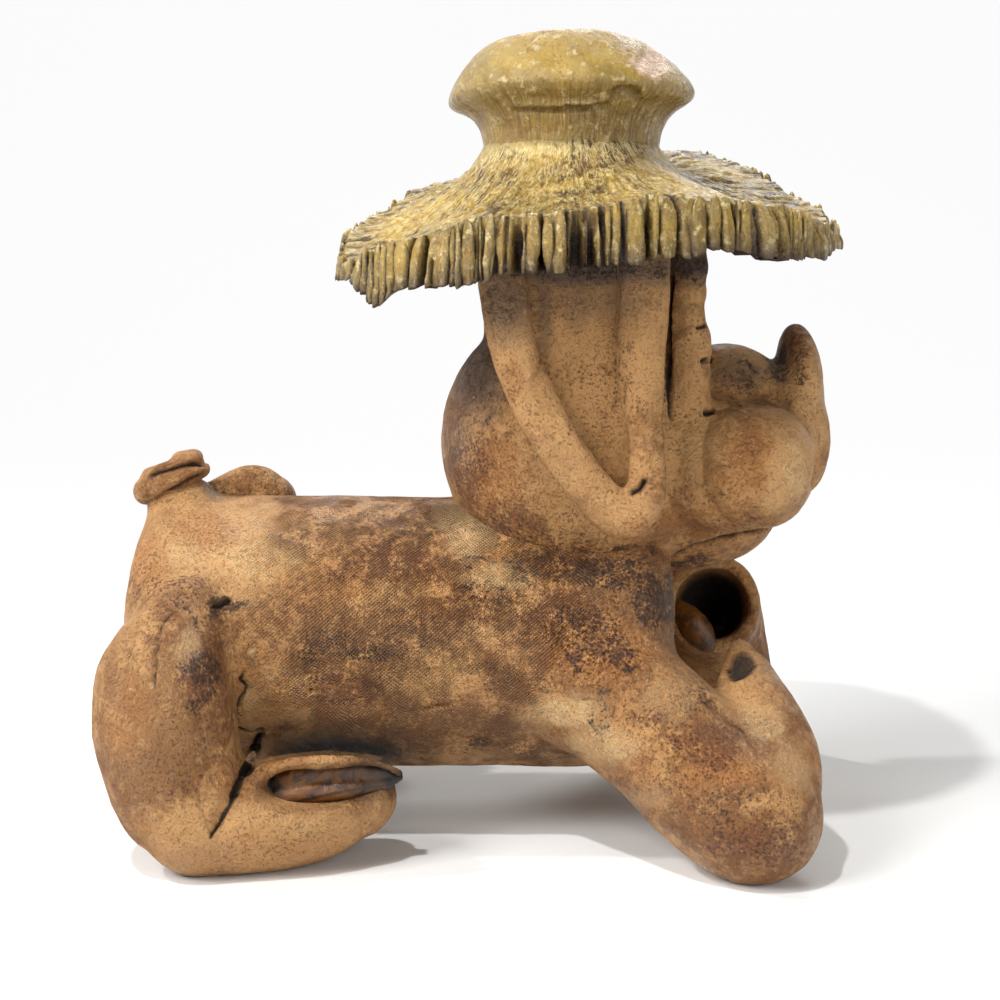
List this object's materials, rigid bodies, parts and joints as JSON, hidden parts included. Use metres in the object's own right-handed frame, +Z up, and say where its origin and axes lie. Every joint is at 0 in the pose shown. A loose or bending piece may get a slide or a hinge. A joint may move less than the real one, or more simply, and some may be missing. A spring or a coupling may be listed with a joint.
{
  "type": "pottery pig figurine",
  "caption": "Hand-built stoneware pig lying down in a fringed straw hat, with coil legs, hanging ears, round jowls and a curled tail.",
  "frame": {"origin": "centre of the figure's box on the surface it lies on", "axes": "+X the way the pig faces, +Y its left side, +Z up"},
  "size_m": [0.169, 0.1216, 0.1854],
  "materials": {
    "clay": "fired brown stoneware, bare to semi-gloss where ash has melted on it",
    "hat_glaze": "thick glossy mustard-yellow glaze, dark brown where it runs into grooves",
    "toe_glaze": "amber-brown glaze"
  },
  "bodies": {
    "root": {"pig_figurine": "clay"}
  },
  "joints": []
}
